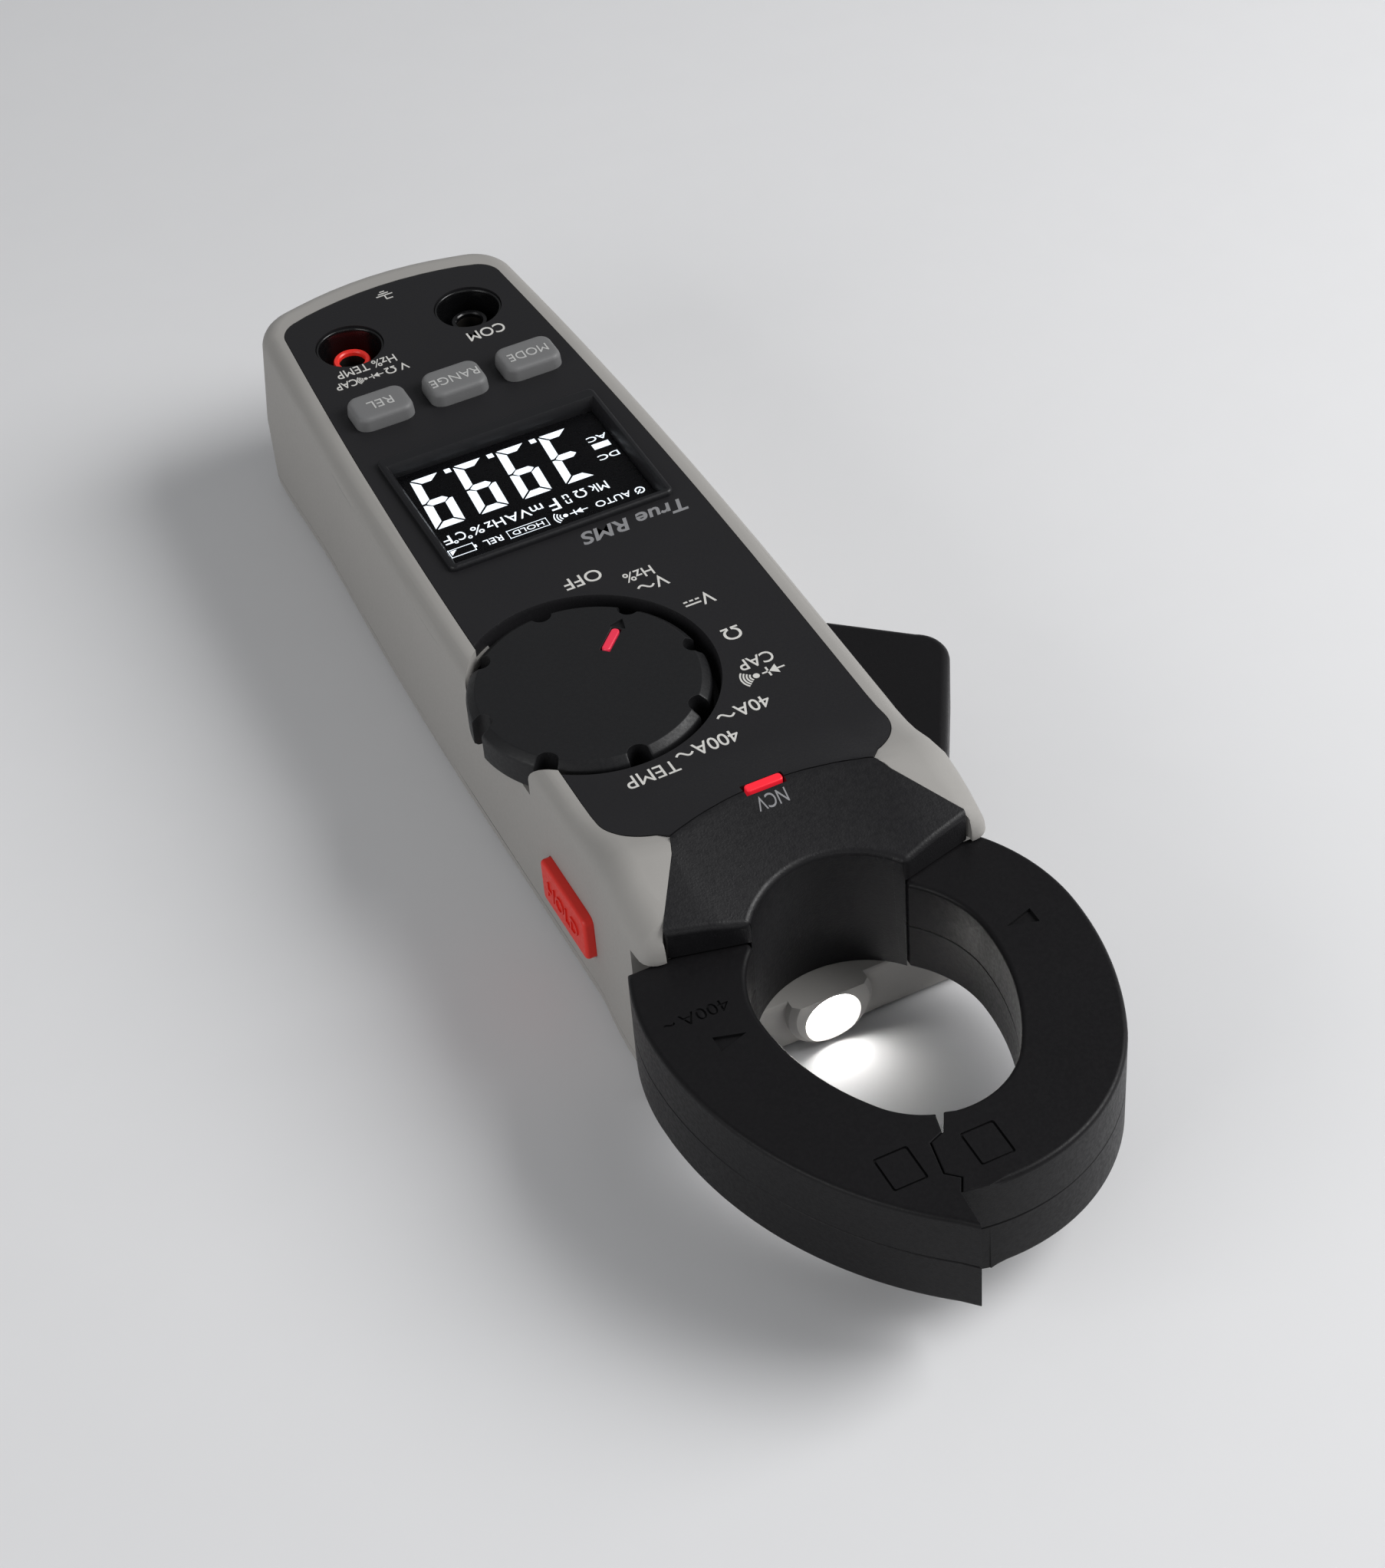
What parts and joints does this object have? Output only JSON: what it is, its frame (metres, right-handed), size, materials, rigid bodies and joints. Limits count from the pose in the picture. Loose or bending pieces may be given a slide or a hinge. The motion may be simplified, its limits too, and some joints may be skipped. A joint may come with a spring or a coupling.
{
  "type": "clamp meter",
  "caption": "Hand-held clamp meter with sprung current jaws, side trigger, offset rotary dial, display, keys, shrouded test sockets and a torch.",
  "frame": {"origin": "on the flat back, on the centre line, half way along the meter", "axes": "+X across the face to the right as the face is read with the jaws up, +Y towards the jaws, +Z out of the face"},
  "size_m": [0.0697, 0.21, 0.0335],
  "materials": {
    "grey_casing": "soft-touch moulded skin, fine matt grain, light warm grey",
    "black_panel": "smooth satin-matt moulding",
    "grained_black": "coarse spark-eroded grain",
    "dial_black": "fine grain with a satin rim",
    "bezel_grey": "half-gloss dark grey",
    "clear_window": "clear polished window",
    "display_black": "black display with bright white segments",
    "grey_rubber": "matt silicone keys",
    "red_rubber": "satin red key",
    "red_lamp": "glowing red light bar",
    "red_pointer": "translucent red insert",
    "socket_black": "polished black wells",
    "socket_red": "polished red sleeve",
    "contact_brass": "turned and plated",
    "torch_clear": "clear domed lens",
    "mirror_chrome": "mirror bowl",
    "white_lamp": "white light-emitting diode",
    "circuit_board": "green solder mask",
    "chip_black": "matt moulded packages and tray",
    "switch_black": "small key switches",
    "ivory_plastic": "natural nylon rotor",
    "cell_wrap": "plain wrapped cells",
    "steel": "bright steel",
    "core_steel": "laminated core strips",
    "copper_winding": "enamelled copper wire"
  },
  "bodies": {
    "casing": {"rear_cover": "grey_casing", "case_screws": "steel", "front_case": "grey_casing", "face_panel": "black_panel", "collar": "grained_black", "ncv_light_pipe": "red_lamp", "ncv_led": "red_lamp", "lcd_bezel": "bezel_grey", "lcd_window": "clear_window", "lcd_module": "display_black", "main_board": "circuit_board", "board_chips": "chip_black", "buzzer": "chip_black", "tact_switches": "switch_black", "hold_switch": "switch_black", "detent_leaf": "steel", "socket_block": "socket_black", "com_sleeve": "socket_black", "v_sleeve": "socket_red", "com_contact": "contact_brass", "v_contact": "contact_brass", "torch_lens": "torch_clear", "torch_reflector": "mirror_chrome", "torch_led": "white_lamp", "battery_tray": "chip_black", "batteries": "cell_wrap", "battery_contacts": "steel", "pivot_pins": "steel", "jaw_springs": "steel"},
    "left_jaw": {"left_jaw_upper": "grained_black", "left_jaw_lower": "grained_black", "left_core": "core_steel", "left_coil": "copper_winding", "trigger": "grained_black", "link_pin": "steel"},
    "right_jaw": {"right_jaw_upper": "grained_black", "right_jaw_lower": "grained_black", "right_core": "core_steel", "right_coil": "copper_winding"},
    "dial": {"dial_knob": "dial_black", "dial_pointer": "red_pointer", "dial_rotor": "ivory_plastic", "dial_contacts": "contact_brass"},
    "mode_key": {"mode_button": "grey_rubber"},
    "range_key": {"range_button": "grey_rubber"},
    "rel_key": {"rel_button": "grey_rubber"},
    "hold_key": {"hold_button": "red_rubber"},
    "battery_door": {"battery_cover": "grey_casing", "battery_cover_screw": "steel"}
  },
  "joints": [
    {"name": "left_jaw_pivot", "type": "hinge", "parent": "casing", "child": "left_jaw", "pos_m": [-0.016, 0.04, 0.01695], "axis": [0, 0, 1], "range_deg": [0, 18]},
    {"name": "right_jaw_pivot", "type": "hinge", "parent": "casing", "child": "right_jaw", "pos_m": [0.016, 0.04, 0.01695], "axis": [0, 0, 1], "range_deg": [-18, 0]},
    {"name": "dial_turn", "type": "hinge", "parent": "casing", "child": "dial", "pos_m": [0.0104, 0.0003, 0.027], "axis": [0, 0, 1], "range_deg": [-135, 22.5]},
    {"name": "mode_press", "type": "slide", "parent": "casing", "child": "mode_key", "axis": [0, 0, -1], "range_m": [0, 0.0008]},
    {"name": "range_press", "type": "slide", "parent": "casing", "child": "range_key", "axis": [0, 0, -1], "range_m": [0, 0.0008]},
    {"name": "rel_press", "type": "slide", "parent": "casing", "child": "rel_key", "axis": [0, 0, -1], "range_m": [0, 0.0008]},
    {"name": "hold_press", "type": "slide", "parent": "casing", "child": "hold_key", "axis": [-1, 0, 0], "range_m": [0, 0.0009]},
    {"name": "battery_door_lift", "type": "slide", "parent": "casing", "child": "battery_door", "axis": [0, 0, -1], "range_m": [0, 0.03]}
  ],
  "couplings": [
    {"joint": "right_jaw_pivot", "follows": "left_jaw_pivot", "ratio": -1}
  ]
}
